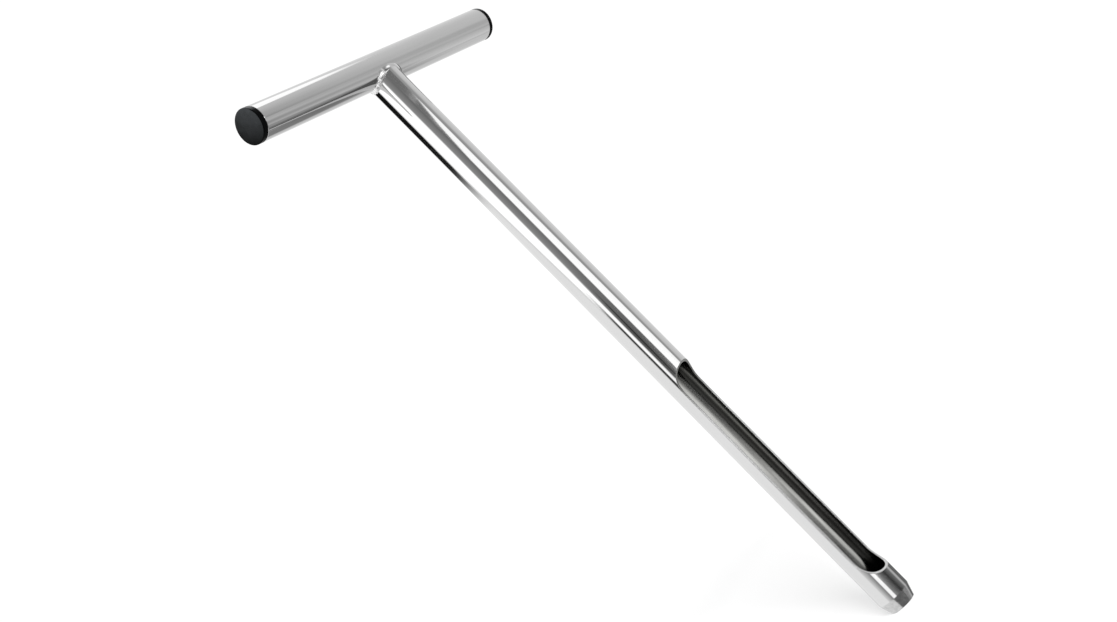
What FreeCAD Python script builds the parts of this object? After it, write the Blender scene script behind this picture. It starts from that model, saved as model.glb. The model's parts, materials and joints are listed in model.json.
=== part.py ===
"""T-handle soil sampling probe: two welded steel tubes and two push-in plugs.

Frame: the origin is the centre of the cutting mouth, +Z runs up the probe to the handle, +X runs along the
handle, and the sampling window faces -Y. Millimetres.
"""

import FreeCAD, Part
import math
import os

import Sketcher

SHEET = "Dimensions"

# alias, value, meaning
DIMENSIONS = [
    ("overall_height", 533.4, "cutting edge to the top of the handle, 21 in"),
    ("tube_diameter", 25.4, "outside diameter of both tubes, 1 in"),
    ("tube_wall", 1.65, "wall of both tubes, 16 gauge"),
    ("handle_length", 254.0, "handle tube without its plugs, 10 in"),
    ("handle_end_chamfer", 0.3, "dressed outer edge at each end of the handle tube"),
    ("tip_length", 9.0, "length of the tapered cutting tip"),
    ("tip_edge_diameter", 19.6, "outside diameter at the cutting edge"),
    ("mouth_diameter", 18.6, "inside diameter of the cutting mouth, narrower than the bore"),
    ("mouth_length", 3.5, "straight land of the mouth"),
    ("swage_length", 11.0, "height at which the full bore begins"),
    ("window_bottom", 26.4, "lower end of the window on the outside of the tube"),
    ("window_top", 220.6, "upper end of the window on the outside of the tube"),
    ("window_plane", 3.2, "distance of the window's flat edges in front of the tube's axis"),
    ("window_cutter_radius", 19.0, "radius of the run-out at each end of the window"),
    ("cope_blunting", 4.2, "feather edge dressed off the coped top"),
    ("weld_radius", 2.6, "radius of the weld bead's section"),
    ("weld_dip", 5.5, "how far the bead passes below the top of the saddle"),
    ("weld_sink", 1.4, "how deep the bead sits where the two tubes are level"),
    ("plug_flange", 4.5, "thickness of the plug's flange"),
    ("plug_edge_radius", 0.8, "rounded rim of the flange"),
    ("plug_spigot_length", 14.0, "length of the plug inside the tube"),
    ("plug_spigot_gap", 0.5, "gap between the spigot and the bore"),
    ("plug_spigot_wall", 1.6, "wall of the hollow spigot"),
    ("plug_rib_gap", 0.02, "gap left between a rib and the bore"),
    ("plug_rib_width", 1.2, "width of a rib at its root"),
    ("plug_rib_pitch", 3.6, "distance from one rib to the next"),
    ("plug_rib_count", 3, "ribs on a plug"),
]

SEAM_STEPS = 12  # steps in a quarter of the line that the weld bead follows


def dimension(name):
    """Expression for one cell of the sheet."""
    return f"{SHEET}.{name}"


TUBE_RADIUS = f"{dimension('tube_diameter')} / 2"
BORE_RADIUS = f"({TUBE_RADIUS} - {dimension('tube_wall')})"
HANDLE_HEIGHT = f"({dimension('overall_height')} - {TUBE_RADIUS})"


def make_sheet(doc):
    sheet = doc.addObject("Spreadsheet::Sheet", SHEET)
    for row, (alias, value, meaning) in enumerate(DIMENSIONS, start=1):
        sheet.set(f"A{row}", alias)
        sheet.set(f"B{row}", str(value))
        sheet.set(f"C{row}", meaning)
        sheet.setAlias(f"B{row}", alias)
    doc.recompute()
    return sheet


def new_body(doc, label):
    body = doc.addObject("PartDesign::Body", label)
    body.Label = label
    return body


def new_sketch(body, name, plane):
    """A sketch on one of the body's own origin planes."""
    sketch = body.newObject("Sketcher::SketchObject", name)
    for feature in body.Origin.OriginFeatures:
        if feature.Role == plane:
            sketch.AttachmentSupport = [(feature, "")]
    sketch.MapMode = "FlatFace"
    return sketch


def hold(sketch, kind, geometry, point, name, expression):
    """Bind one point's DistanceX or DistanceY from the sketch's origin to an expression."""
    value = float(sketch.evalExpression(expression))
    index = sketch.addConstraint(Sketcher.Constraint(kind, -1, 1, geometry, point, value))
    sketch.renameConstraint(index, name)
    sketch.setExpression(f"Constraints.{name}", expression)


def draw_outline(sketch, corners):
    """A closed outline of straight lines. Each corner is a pair of expressions, which hold it."""
    places = []
    for across, up in corners:
        place = FreeCAD.Vector(
            float(sketch.evalExpression(across)), float(sketch.evalExpression(up)), 0
        )
        places.append(place)
    count = len(places)
    for i in range(count):
        sketch.addGeometry(Part.LineSegment(places[i], places[(i + 1) % count]), False)
    for i in range(count):
        sketch.addConstraint(Sketcher.Constraint("Coincident", i, 2, (i + 1) % count, 1))
    for i, (across, up) in enumerate(corners):
        hold(sketch, "DistanceX", i, 1, f"across{i}", across)
        hold(sketch, "DistanceY", i, 1, f"up{i}", up)


def draw_circle(sketch, across, up, radius, name):
    """A circle whose centre and radius are held by expressions."""
    centre = FreeCAD.Vector(
        float(sketch.evalExpression(across)), float(sketch.evalExpression(up)), 0
    )
    size = float(sketch.evalExpression(radius))
    circle = sketch.addGeometry(Part.Circle(centre, FreeCAD.Vector(0, 0, 1), size), False)
    hold(sketch, "DistanceX", circle, 3, f"{name}_across", across)
    hold(sketch, "DistanceY", circle, 3, f"{name}_up", up)
    index = sketch.addConstraint(Sketcher.Constraint("Radius", circle, size))
    sketch.renameConstraint(index, f"{name}_radius")
    sketch.setExpression(f"Constraints.{name}_radius", radius)


def cut_through(body, name, sketch):
    """Pocket a sketch both ways through the whole body, and make sure that it cuts."""
    before = body.Shape.Volume
    pocket = body.newObject("PartDesign::Pocket", name)
    pocket.Profile = sketch
    pocket.Type = "ThroughAll"
    pocket.Midplane = True
    body.Document.recompute()
    if body.Shape.Volume >= before:
        raise RuntimeError(f"{name} cuts nothing")
    return pocket


def make_handle_tube(doc):
    """Straight round tube along X at the top of the tool."""
    body = new_body(doc, "handle_tube")
    sketch = new_sketch(body, "handle_ring", "YZ_Plane")
    draw_circle(sketch, "0", "0", TUBE_RADIUS, "outside")
    draw_circle(sketch, "0", "0", BORE_RADIUS, "inside")
    pad = body.newObject("PartDesign::Pad", "handle_length_pad")
    pad.Profile = sketch
    pad.Midplane = True
    pad.setExpression("Length", dimension("handle_length"))
    doc.recompute()
    radius = float(body.evalExpression(TUBE_RADIUS))
    chamfer = body.newObject("PartDesign::Chamfer", "handle_end_edges")
    chamfer.Base = (pad, circular_edges(pad.Shape, radius))
    chamfer.setExpression("Size", dimension("handle_end_chamfer"))
    body.setExpression("Placement.Base.z", HANDLE_HEIGHT)
    return body


def circular_edges(shape, radius, height=None):
    """Names of the full circles of one radius, and at one height if it is given."""
    names = []
    for number, edge in enumerate(shape.Edges, start=1):
        curve = edge.Curve
        if not isinstance(curve, Part.Circle) or abs(curve.Radius - radius) > 1e-6:
            continue
        if height is None or abs(curve.Center.z - height) < 1e-6:
            names.append(f"Edge{number}")
    return names


def make_probe_tube(doc):
    """Tube with a swaged and ground cutting tip, a long side window and a coped top."""
    body = new_body(doc, "probe_tube")
    mouth = f"{dimension('mouth_diameter')} / 2"
    cutting_edge = f"{dimension('tip_edge_diameter')} / 2"
    top = f"{HANDLE_HEIGHT} - {dimension('cope_blunting')}"
    wall = new_sketch(body, "probe_wall", "XZ_Plane")
    draw_outline(
        wall,
        [
            (mouth, "0"),
            (cutting_edge, "0"),
            (TUBE_RADIUS, dimension("tip_length")),
            (TUBE_RADIUS, top),
            (BORE_RADIUS, top),
            (BORE_RADIUS, dimension("swage_length")),
            (mouth, dimension("mouth_length")),
        ],
    )
    turned = body.newObject("PartDesign::Revolution", "probe_turned")
    turned.Profile = wall
    turned.ReferenceAxis = (wall, ["V_Axis"])
    turned.Angle = 360
    doc.recompute()

    cope = new_sketch(body, "cope_circle", "YZ_Plane")
    draw_circle(cope, "0", HANDLE_HEIGHT, TUBE_RADIUS, "handle")
    cut_through(body, "cope", cope)

    window = new_sketch(body, "window_outline", "YZ_Plane")
    draw_window(window)
    cut_through(body, "window", window)
    return body


def draw_window(sketch):
    """The window seen from the side: a flat floor that a round cutter leaves in an arc at each end."""
    cutter = dimension("window_cutter_radius")
    floor = f"-{dimension('window_plane')}"
    axis_across = f"-({dimension('window_plane')} + {cutter})"
    reach = f"sqrt(({cutter}) ^ 2 - ({dimension('window_plane')} + {cutter} - {TUBE_RADIUS}) ^ 2)"
    low = f"{dimension('window_bottom')} + {reach}"
    high = f"{dimension('window_top')} - {reach}"

    number = {}
    for key, expression in {
        "floor": floor,
        "across": axis_across,
        "low": low,
        "high": high,
        "cutter": cutter,
    }.items():
        number[key] = float(sketch.evalExpression(expression))
    low_axis = FreeCAD.Vector(number["across"], number["low"], 0)
    high_axis = FreeCAD.Vector(number["across"], number["high"], 0)
    out = FreeCAD.Vector(0, number["cutter"], 0)
    up = FreeCAD.Vector(0, 0, 1)
    quarter = math.pi / 2

    face = sketch.addGeometry(
        Part.LineSegment(
            FreeCAD.Vector(number["floor"], number["low"], 0),
            FreeCAD.Vector(number["floor"], number["high"], 0),
        ),
        False,
    )
    high_arc = sketch.addGeometry(
        Part.ArcOfCircle(Part.Circle(high_axis, up, number["cutter"]), 0, quarter), False
    )
    outside = sketch.addGeometry(Part.LineSegment(high_axis + out, low_axis - out), False)
    low_arc = sketch.addGeometry(
        Part.ArcOfCircle(Part.Circle(low_axis, up, number["cutter"]), -quarter, 0), False
    )
    sketch.addConstraint(Sketcher.Constraint("Tangent", face, 2, high_arc, 1))
    sketch.addConstraint(Sketcher.Constraint("Coincident", high_arc, 2, outside, 1))
    sketch.addConstraint(Sketcher.Constraint("Coincident", outside, 2, low_arc, 1))
    sketch.addConstraint(Sketcher.Constraint("Tangent", low_arc, 2, face, 1))
    for arc, name, height in ((high_arc, "high", high), (low_arc, "low", low)):
        hold(sketch, "DistanceX", arc, 3, f"{name}_across", axis_across)
        hold(sketch, "DistanceY", arc, 3, f"{name}_up", height)
        index = sketch.addConstraint(Sketcher.Constraint("Radius", arc, number["cutter"]))
        sketch.renameConstraint(index, f"{name}_radius")
        sketch.setExpression(f"Constraints.{name}_radius", cutter)
    hold(sketch, "DistanceX", outside, 1, "outside_high", axis_across)
    hold(sketch, "DistanceX", outside, 2, "outside_low", axis_across)


def make_plug(doc, label, side):
    """Push-in end plug: a flange as wide as the tube and a hollow spigot with ribs. Its own +Z points out."""
    body = new_body(doc, label)
    spigot = f"({BORE_RADIUS} - {dimension('plug_spigot_gap')})"
    hollow = f"({spigot} - {dimension('plug_spigot_wall')})"
    depth = f"-{dimension('plug_spigot_length')}"
    section = new_sketch(body, f"{label}_section", "XZ_Plane")
    draw_outline(
        section,
        [
            ("0", "0"),
            (hollow, "0"),
            (hollow, depth),
            (spigot, depth),
            (spigot, "0"),
            (TUBE_RADIUS, "0"),
            (TUBE_RADIUS, dimension("plug_flange")),
            ("0", dimension("plug_flange")),
        ],
    )
    turned = body.newObject("PartDesign::Revolution", f"{label}_turned")
    turned.Profile = section
    turned.ReferenceAxis = (section, ["V_Axis"])
    turned.Angle = 360
    doc.recompute()

    rib = new_sketch(body, f"{label}_rib_section", "XZ_Plane")
    width = dimension("plug_rib_width")
    root = f"{spigot} - {dimension('plug_spigot_gap')}"
    crest = f"{BORE_RADIUS} - {dimension('plug_rib_gap')}"
    first = f"-{dimension('plug_rib_pitch')}"
    draw_outline(
        rib,
        [
            (root, f"{first} - {width}"),
            (crest, f"{first} - {width} / 4"),
            (crest, f"{first} + {width} / 4"),
            (root, f"{first} + {width}"),
        ],
    )
    ring = body.newObject("PartDesign::Revolution", f"{label}_rib")
    ring.Profile = rib
    ring.ReferenceAxis = (rib, ["V_Axis"])
    ring.Angle = 360
    doc.recompute()

    ribs = body.newObject("PartDesign::LinearPattern", f"{label}_ribs")
    ribs.Originals = [ring]
    ribs.Direction = (rib, ["V_Axis"])
    ribs.Reversed = True
    ribs.setExpression("Occurrences", dimension("plug_rib_count"))
    ribs.setExpression(
        "Length", f"({dimension('plug_rib_count')} - 1) * {dimension('plug_rib_pitch')}"
    )
    body.Tip = ribs
    doc.recompute()

    radius = float(body.evalExpression(TUBE_RADIUS))
    height = float(body.evalExpression(dimension("plug_flange")))
    rim = body.newObject("PartDesign::Fillet", f"{label}_rim")
    rim.Base = (ribs, circular_edges(ribs.Shape, radius, height))
    rim.setExpression("Radius", dimension("plug_edge_radius"))

    body.Placement = FreeCAD.Placement(
        FreeCAD.Vector(), FreeCAD.Rotation(FreeCAD.Vector(0, 1, 0), 90 * side)
    )
    sign = "" if side > 0 else "-"
    body.setExpression("Placement.Base.x", f"{sign}{dimension('handle_length')} / 2")
    body.setExpression("Placement.Base.z", HANDLE_HEIGHT)
    return body


def seam_curve(sheet):
    """A quarter of the line that the weld bead follows, just under the saddle between the two tubes.

    Two equal tubes meet in a saddle that comes to a point at the front and back. The bead rounds that point
    off, and sinks into the tubes there, where their surfaces are level.
    """
    radius = sheet.tube_diameter / 2
    height = sheet.overall_height - radius
    turns = [math.pi / 2 * step / SEAM_STEPS for step in range(SEAM_STEPS + 1)]
    points = []
    for turn in turns:
        out = radius - sheet.weld_sink * math.sin(turn) ** 2
        below = math.hypot(radius * math.cos(turn), sheet.weld_dip)
        points.append(
            FreeCAD.Vector(out * math.cos(turn), out * math.sin(turn), height - below)
        )
    curve = Part.BSplineCurve()
    curve.interpolate(
        Points=points,
        Parameters=turns,
        InitialTangent=FreeCAD.Vector(0, radius, 0),
        FinalTangent=FreeCAD.Vector(sheet.weld_sink - radius, 0, 0),
        Scale=False,
    )
    return curve


def add_cylinder(doc, name, length, placement):
    cylinder = doc.addObject("Part::Cylinder", name)
    cylinder.setExpression("Radius", TUBE_RADIUS)
    cylinder.setExpression("Height", length)
    cylinder.Placement = placement
    return cylinder


def add_boolean(doc, kind, name, base, tool):
    result = doc.addObject(kind, name)
    result.Base = base
    result.Tool = tool
    return result


def add_mirror(doc, name, source, normal):
    """Mirror image in a plane through the probe's axis."""
    mirror = doc.addObject("Part::Mirroring", name)
    mirror.Source = source
    mirror.Base = FreeCAD.Vector()
    mirror.Normal = normal
    return mirror


def make_weld_bead(doc, sheet):
    """Bead of weld metal all round the joint: a round section swept along the seam, less both tubes."""
    curve = seam_curve(sheet)
    path = doc.addObject("Part::Feature", "weld_path")
    path.Shape = Part.Wire([curve.toShape()])
    section = doc.addObject("Part::Circle", "weld_section")
    section.setExpression("Radius", dimension("weld_radius"))
    section.Placement = FreeCAD.Placement(
        curve.value(curve.FirstParameter), FreeCAD.Rotation(FreeCAD.Vector(1, 0, 0), 90)
    )
    sweep = doc.addObject("Part::Sweep", "weld_sweep")
    sweep.Sections = [section]
    sweep.Spine = (path, ["Edge1"])
    sweep.Solid = True
    sweep.Frenet = False

    diameter = dimension("tube_diameter")
    along_x = FreeCAD.Rotation(FreeCAD.Vector(0, 1, 0), 90)
    handle = add_cylinder(
        doc, "handle_envelope", f"{diameter} * 4", FreeCAD.Placement(FreeCAD.Vector(), along_x)
    )
    handle.setExpression("Placement.Base.x", f"-{diameter} * 2")
    handle.setExpression("Placement.Base.z", HANDLE_HEIGHT)
    probe = add_cylinder(doc, "probe_envelope", f"{diameter} * 2", FreeCAD.Placement())
    probe.setExpression("Placement.Base.z", f"{HANDLE_HEIGHT} - {diameter} * 2")

    under_handle = add_boolean(doc, "Part::Cut", "weld_under_handle", sweep, handle)
    quarter = add_boolean(doc, "Part::Cut", "weld_quarter", under_handle, probe)
    quarter_image = add_mirror(doc, "weld_quarter_image", quarter, FreeCAD.Vector(1, 0, 0))
    half = add_boolean(doc, "Part::Fuse", "weld_half", quarter, quarter_image)
    half_image = add_mirror(doc, "weld_half_image", half, FreeCAD.Vector(0, 1, 0))
    return add_boolean(doc, "Part::Fuse", "weld_bead", half, half_image)


def check_document(doc):
    """Stop if any object of the document failed to compute."""
    doc.recompute()
    for item in doc.Objects:
        if "Invalid" in item.State or "Error" in item.State:
            raise RuntimeError(f"{item.Name} failed: {item.State}")


def write_parts(pieces):
    """Check each sub-part and write it to its own STEP file."""
    for piece in pieces:
        shape = piece.Shape
        if shape.isNull() or not shape.isValid() or len(shape.Solids) != 1:
            raise RuntimeError(f"{piece.Label} has no valid solid")
    os.makedirs("parts", exist_ok=True)
    for piece in pieces:
        piece.Shape.exportStep(f"parts/{piece.Label}.step")
        print(f"{piece.Label}: {piece.Shape.Volume:.1f} mm3, {piece.Shape.BoundBox}")


doc = FreeCAD.newDocument("SoilProbe")
sheet = make_sheet(doc)
pieces = [
    make_handle_tube(doc),
    make_probe_tube(doc),
    make_weld_bead(doc, sheet),
    make_plug(doc, "left_end_plug", -1),
    make_plug(doc, "right_end_plug", 1),
]
check_document(doc)
write_parts(pieces)
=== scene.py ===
import json
import math

import bmesh
import bpy
import numpy as np
from mathutils import Matrix, Vector


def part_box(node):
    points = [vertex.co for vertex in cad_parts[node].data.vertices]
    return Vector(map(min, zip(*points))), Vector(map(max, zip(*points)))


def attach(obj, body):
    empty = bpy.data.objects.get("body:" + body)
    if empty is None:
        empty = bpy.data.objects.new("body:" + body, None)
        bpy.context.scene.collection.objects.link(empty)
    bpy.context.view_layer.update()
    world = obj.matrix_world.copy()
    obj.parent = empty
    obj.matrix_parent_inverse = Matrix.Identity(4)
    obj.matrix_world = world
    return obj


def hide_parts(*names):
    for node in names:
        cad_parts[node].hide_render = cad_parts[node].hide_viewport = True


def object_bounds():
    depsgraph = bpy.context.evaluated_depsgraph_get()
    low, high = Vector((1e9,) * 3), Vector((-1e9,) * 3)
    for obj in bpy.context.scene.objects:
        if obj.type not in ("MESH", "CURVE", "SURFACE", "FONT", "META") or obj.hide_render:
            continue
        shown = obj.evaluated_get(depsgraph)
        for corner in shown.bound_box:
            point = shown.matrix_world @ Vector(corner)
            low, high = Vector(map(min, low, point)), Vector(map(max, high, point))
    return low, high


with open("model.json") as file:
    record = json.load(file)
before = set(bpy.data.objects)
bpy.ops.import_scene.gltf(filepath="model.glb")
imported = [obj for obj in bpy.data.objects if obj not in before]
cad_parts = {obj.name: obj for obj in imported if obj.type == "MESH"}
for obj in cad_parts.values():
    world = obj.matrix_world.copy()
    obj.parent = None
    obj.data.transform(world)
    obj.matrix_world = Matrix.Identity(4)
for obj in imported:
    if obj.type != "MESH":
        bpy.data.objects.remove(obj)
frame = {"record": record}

# Soil sampling probe: a T handle of satin steel tube, a mirror-polished probe tube with a long
# sampling window and a ground mouth, the weld bead between them, and two black end plugs.
# Metres, +Z up the probe, +X along the handle, the window faces -Y.

CAD_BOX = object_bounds()
MM = 0.001
SEED = 7

# Sizes that the frame gives.
MOUNTS = {mount["name"]: mount for mount in frame["record"]["mounts"]}
TUBE_RADIUS = MOUNTS["storage_clip"]["dims"]["r_mm"] * MM
MOUTH_RADIUS = MOUNTS["core_mouth"]["dims"]["r_mm"] * MM
MOUTH_LENGTH = MOUNTS["core_mouth"]["dims"]["length_mm"] * MM
HANDLE_HEIGHT = MOUNTS["left_grip"]["pos_m"][2]
HANDLE_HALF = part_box("handle_tube")[1].x
PLUG_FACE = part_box("right_end_plug")[1].x

# Sizes of the probe tube that the frame's boxes don't show.
TUBE_WALL = 1.65 * MM
BORE_RADIUS = TUBE_RADIUS - TUBE_WALL
TIP_LENGTH = 9.0 * MM
TIP_EDGE_RADIUS = 9.8 * MM
SWAGE_LENGTH = 11.0 * MM
WINDOW_BOTTOM = 26.4 * MM
WINDOW_TOP = 220.6 * MM
WINDOW_PLANE = 3.2 * MM
CUTTER_RADIUS = 19.0 * MM
EDGE_BREAK = 0.22 * MM
MOUTH_BREAK = 0.12 * MM

# Sizes of the handle and its plugs.
HANDLE_CHAMFER = 0.3 * MM
PLUG_EDGE = 0.6 * MM
PLUG_DOME = 0.5 * MM
SPIGOT_LENGTH = 14.0 * MM
SPIGOT_RADIUS = BORE_RADIUS - 0.5 * MM
SPIGOT_WALL = 1.6 * MM
RIB_RADIUS = BORE_RADIUS - 0.02 * MM
RIB_WIDTH = 1.2 * MM
RIB_PITCH = 3.6 * MM
RIB_COUNT = 3
FIRST_RIB = 0.6 * RIB_PITCH
RIB_CREST = 0.2 * RIB_WIDTH

# The weld bead runs round the line where the two tubes meet, which its metal rounds off in front
# and behind. It is left as laid in the two crevices and dressed smooth elsewhere. The probe tube's
# wall ends inside it, higher at the sides.
BEAD_TOP = 7.0 * MM
BEAD_TOP_SHARPNESS = 4
BEAD_BURIED = 0.7 * MM
BEAD_FULLNESS = 0.42
DRESSED_ON_PROBE = 2.2 * MM
DRESSED_ON_HANDLE = 2.6 * MM
LAID_ON_PROBE = 2.6 * MM
LAID_ON_HANDLE = 2.3 * MM
FIRST_BLOB = 1.2 * MM
CREST_AT_SIDES = 0.6 * MM
CREST_DROP = 1.8 * MM

# Stretches of the bead: start, end and how soft its ends are, in degrees round the probe from -Y.
LAID_LEFT = (33, 156, 5)
LAID_RIGHT = (204, 284, 10)
BLOB_STRETCH = (30, 60, 8)

# How the bead's skin leaves the tubes: a share of the corner between them, and degrees on top.
DRESSED_CORNER = 0.25
LAID_CORNER = 1.0
DRESSED_LIFT = 5
LAID_LIFT = 29
MOST_LIFT = 72

# What is uneven about the laid metal: edges that wander by a share of its width, shifted by some
# steps on the handle's side, ripples across it, and lumps. The first blob loses part of these.
WANDER_WAVES = 7
WANDER_ON_PROBE = 0.22
WANDER_ON_HANDLE = 0.26
WANDER_SHIFT = 40
BLOB_WANDER_LOST = 0.7
RIPPLE_PITCH = 1.8 * MM
RIPPLE_WIDTH = 0.36 * RIPPLE_PITCH
RIPPLE_HEIGHT = 0.17 * MM
BLOB_RIPPLE_LOST = 0.92
MEAN_RIPPLE = 0.55
LUMP_COUNT = 45
LUMP_WIDTH = (0.8 * MM, 1.5 * MM)

# How finely the pieces are drawn.
WINDOW_STEPS = 28
BACK_STEPS = 72
FLANK_STEPS = 40
FOOT_STEPS = 12
SHAFT_STEPS = 60
TURN_STEPS = 160
WALL_STEPS = 4
FILLET_STEPS = 3
CONE_STEPS = 10
LIP_STEPS = 6
LAND_STEPS = 3
SWAGE_STEPS = 6
HANDLE_STEPS = 80
HANDLE_BORE_STEPS = 20
DOME_STEPS = 24
BEAD_STEPS_ALONG = 960
BEAD_STEPS_ACROSS = 26

# The camera, and the studio's plain parts. Angles are in degrees; azimuth 0 is +Y and 90 is +X.
# The camera sees a white backdrop and the floor gets a dimmer light than the cards would give it.
CAMERA_PLACE = Vector((-0.74758, -0.61605, 0.20532))
CAMERA_AZIMUTH = 48.894
CAMERA_ELEVATION = 5.916
CAMERA_ROLL = -44.529
CAMERA_LENS = 44.95
CAMERA_SENSOR = 36.0
FLOOR_HALF = 6.0
FLOOR_GAP = 0.2 * MM
BACKDROP_LIGHT = 1.05
FLOOR_LIGHT = 0.36


# ---------------------------------------------------------------- meshes


def unit(vectors):
    return vectors / np.linalg.norm(vectors, axis=-1, keepdims=True)


class Shell:
    """A closed skin put together from grids of points, each point with its exact normal."""

    def __init__(self):
        self.points = []
        self.faces = []
        self.corners = []
        self.slots = []

    def add(self, points, normals, slot, turn=False):
        """points and normals are rows x columns x 3; turn joins the last column to the first."""
        points = np.asarray(points, float)
        normals = unit(np.asarray(normals, float))
        rows, columns = points.shape[:2]
        first = len(self.points)
        self.points.extend(points.reshape(-1, 3).tolist())
        flat = normals.reshape(-1, 3)
        quads = []
        for row in range(rows - 1):
            for column in range(columns if turn else columns - 1):
                after = (column + 1) % columns
                here = row * columns
                there = here + columns
                quads.append((here + column, here + after, there + after, there + column))
        corners = points.reshape(-1, 3)[np.array(quads)]
        facing = np.cross(corners[:, 2] - corners[:, 0], corners[:, 3] - corners[:, 1])
        outward = (facing * flat[np.array(quads)].mean(1)).sum()
        if outward < 0:
            quads = [quad[::-1] for quad in quads]
        self.faces.extend(tuple(first + index for index in quad) for quad in quads)
        self.corners.extend(flat[index] for quad in quads for index in quad)
        self.slots.extend([slot] * len(quads))

    def build(self, name, materials):
        """Joins the grids along their shared edges and keeps each corner's own normal."""
        mesh = bpy.data.meshes.new(name)
        mesh.from_pydata(self.points, [], self.faces)
        mesh.polygons.foreach_set("material_index", self.slots)
        kept = mesh.attributes.new("exact_normal", "FLOAT_VECTOR", "CORNER")
        kept.data.foreach_set("vector", np.asarray(self.corners, np.float32).ravel())
        joined = bmesh.new()
        joined.from_mesh(mesh)
        bmesh.ops.remove_doubles(joined, verts=joined.verts, dist=0.0005 * MM)
        joined.to_mesh(mesh)
        joined.free()
        normals = np.zeros(len(mesh.loops) * 3, np.float32)
        mesh.attributes["exact_normal"].data.foreach_get("vector", normals)
        mesh.attributes.remove(mesh.attributes["exact_normal"])
        mesh.shade_smooth()
        mesh.normals_split_custom_set(normals.reshape(-1, 3))
        for material in materials:
            mesh.materials.append(material)
        piece = bpy.data.objects.new(name, mesh)
        bpy.context.scene.collection.objects.link(piece)
        return piece


def between(start, end, steps):
    return np.linspace(start, end, steps + 1)


def radial(angles):
    """Unit vectors square to the probe's axis; angle 0 points to the window, -Y."""
    return np.stack([-np.sin(angles), -np.cos(angles), np.zeros_like(angles)], -1)


def lathe(shell, runs, slot, centre=(0, 0, 0)):
    """Turns a profile about the X axis. A run is a list of (x, radius, normal x, normal radius)."""
    turn = np.linspace(0, 2 * math.pi, TURN_STEPS, endpoint=False)
    around = np.stack([np.zeros_like(turn), np.cos(turn), np.sin(turn)], -1)
    along = np.array([1.0, 0.0, 0.0])
    for run in runs:
        points = [x * along + max(r, 1e-7) * around + centre for x, r, _, _ in run]
        normals = [nx * along + nr * around for _, _, nx, nr in run]
        shell.add(points, normals, slot, turn=True)


def straight(start, end, steps=1):
    """A straight run of a profile, its normal to the left of the way from start to end."""
    (x0, r0), (x1, r1) = start, end
    length = math.hypot(x1 - x0, r1 - r0)
    normal = (-(r1 - r0) / length, (x1 - x0) / length)
    return [(x0 + (x1 - x0) * t, r0 + (r1 - r0) * t, *normal) for t in between(0, 1, steps)]


def rounded(centre, radius, start, end, steps=8):
    """An arc of a profile about centre, from one angle to another, in degrees from +X."""
    run = []
    for angle in np.radians(between(start, end, steps)):
        out = (math.cos(angle), math.sin(angle))
        run.append((centre[0] + radius * out[0], centre[1] + radius * out[1], *out))
    return run


# ---------------------------------------------------------------- probe tube


class WindowRim:
    """The outline that the sampling window has on a cylinder of some radius about the probe's axis.

    The window is milled by a cutter whose ends are round and whose axis lies along X, down to a
    flat plane. grow moves the outline outwards from the cut, as the broken edge does."""

    def __init__(self, radius, grow=0.0):
        self.radius = radius
        self.cutter = CUTTER_RADIUS + grow
        depth_of_centre = WINDOW_PLANE + CUTTER_RADIUS
        reach = math.sqrt(CUTTER_RADIUS**2 - (depth_of_centre - TUBE_RADIUS) ** 2)
        self.low_centre = WINDOW_BOTTOM + reach
        self.high_centre = WINDOW_TOP - reach
        widest = math.acos((depth_of_centre - radius) / self.cutter)
        step = np.abs(between(-1, 1, 2 * WINDOW_STEPS))
        self.swing = widest * np.cos(step * math.pi / 2)
        depth = depth_of_centre - self.cutter * np.cos(self.swing)
        half_turn = np.arccos(np.clip(depth / radius, -1, 1))
        self.angles = half_turn * np.sign(between(-1, 1, 2 * WINDOW_STEPS))
        self.side = float(half_turn[-1])

    def end(self, top):
        """Points on the round end of the window, from one side to the other."""
        height = self.cutter * np.sin(self.swing)
        z = self.high_centre + height if top else self.low_centre - height
        points = self.radius * radial(self.angles)
        points[:, 2] = z
        return points

    def cut_normals(self, top):
        """Normals of the cut face there, square to the cutter's axis."""
        lean = np.sin(self.swing) * (-1 if top else 1)
        return np.stack([0 * lean, -np.cos(self.swing), lean], -1)

    def flank(self, sign, steps):
        """Points up the straight side of the window."""
        heights = between(self.low_centre, self.high_centre, steps)
        points = np.tile(self.radius * radial(np.array([sign * self.side])), (len(heights), 1))
        points[:, 2] = heights
        return points

    def loop(self, steps):
        """The whole outline, once round: low end, side, high end, side. Returns points, normals."""
        side_normal = np.tile([0.0, -1.0, 0.0], (steps - 1, 1))
        points = [
            self.end(False),
            self.flank(1, steps)[1:-1],
            self.end(True)[::-1],
            self.flank(-1, steps)[1:-1][::-1],
        ]
        normals = [self.cut_normals(False), side_normal, self.cut_normals(True)[::-1], side_normal]
        return np.concatenate(points), np.concatenate(normals)


def ring_angles(rim):
    """The angles round the tube where it has points: across the window, then round the back."""
    back = between(rim.side, 2 * math.pi - rim.side, BACK_STEPS)
    return np.concatenate([rim.angles, back[1:-1]])


def seam_turn(angles):
    """How far round the handle tube the seam lies, from its underside, at an angle of the probe."""
    ideal = np.arcsin(np.clip(np.cos(angles), -1, 1))
    top = math.acos(BEAD_TOP / TUBE_RADIUS)
    power = BEAD_TOP_SHARPNESS
    limit = (top**-power - (math.pi / 2) ** -power) ** (-1 / power)
    steep = np.maximum(np.abs(ideal), 1e-6)
    return np.sign(ideal) * (steep**-power + limit**-power) ** (-1 / power)


def seam_height(angles):
    return HANDLE_HEIGHT - TUBE_RADIUS * np.cos(seam_turn(angles))


def crest_height(angles):
    """Top of the probe tube's wall, which ends inside the weld metal."""
    return seam_height(angles) + CREST_AT_SIDES - CREST_DROP * np.cos(angles) ** 2


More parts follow.
